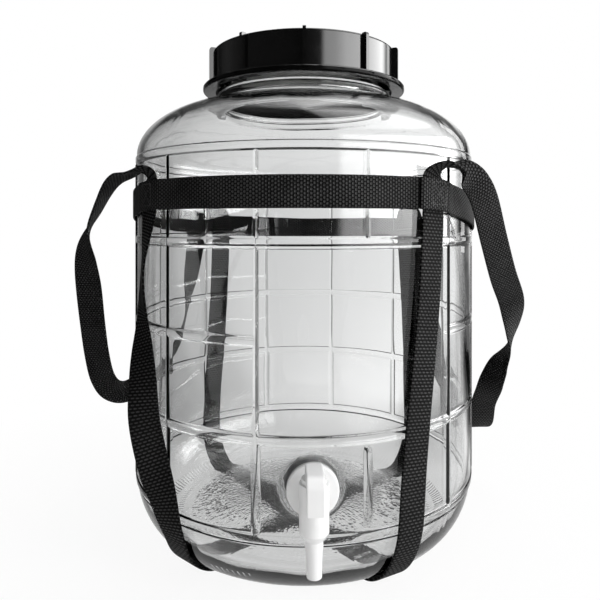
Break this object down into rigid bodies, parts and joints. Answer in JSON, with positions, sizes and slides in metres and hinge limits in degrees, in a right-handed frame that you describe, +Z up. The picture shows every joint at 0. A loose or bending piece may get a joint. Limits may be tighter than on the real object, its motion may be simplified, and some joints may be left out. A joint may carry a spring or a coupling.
{
  "type": "wide-mouth glass carboy with spigot and carrying harness",
  "caption": "Wide-mouth glass jar with a moulded grid, a ribbed screw lid, a webbing belt, slings and hand loops, and a lever spigot low in front.",
  "frame": {"origin": "on the standing plane under the centre of the base, where the slings cross", "axes": "+Z up along the jar's axis; the spigot is towards -Y; +X is to the right seen from the spigot side"},
  "size_m": [0.3519, 0.2976, 0.3672],
  "materials": {
    "glass": "clear pressed glass, smooth, fire polished",
    "lid_black": "glossy black moulding",
    "seal_white": "soft closed-cell liner",
    "webbing": "woven black polypropylene webbing",
    "tap_white": "white moulded polyethylene, satin",
    "washer_rubber": "grey rubber washer"
  },
  "bodies": {
    "carboy": {"jar": "glass", "belt": "webbing", "sling_1": "webbing", "sling_2": "webbing", "handle_left": "webbing", "handle_right": "webbing", "tap_body": "tap_white", "tap_outer_washer": "washer_rubber", "tap_inner_washer": "washer_rubber", "tap_nut": "tap_white"},
    "seal": {"lid_seal": "seal_white"},
    "lid": {"lid": "lid_black"},
    "plug": {"tap_plug": "tap_white"}
  },
  "joints": [
    {"name": "lid_lift", "type": "slide", "parent": "carboy", "child": "seal", "axis": [0, 0, 1], "range_m": [0, 0.03601]},
    {"name": "lid_turn", "type": "hinge", "parent": "seal", "child": "lid", "pos_m": [0, 0, 0.35], "axis": [0, 0, 1], "range_deg": [0, 1440]},
    {"name": "tap_turn", "type": "hinge", "parent": "carboy", "child": "plug", "pos_m": [0, -0.1466, 0.0761], "axis": [0, 0, 1], "range_deg": [0, 90]}
  ],
  "couplings": [
    {"joint": "lid_lift", "follows": "lid_turn", "m_per_rad": 0.0014324}
  ]
}
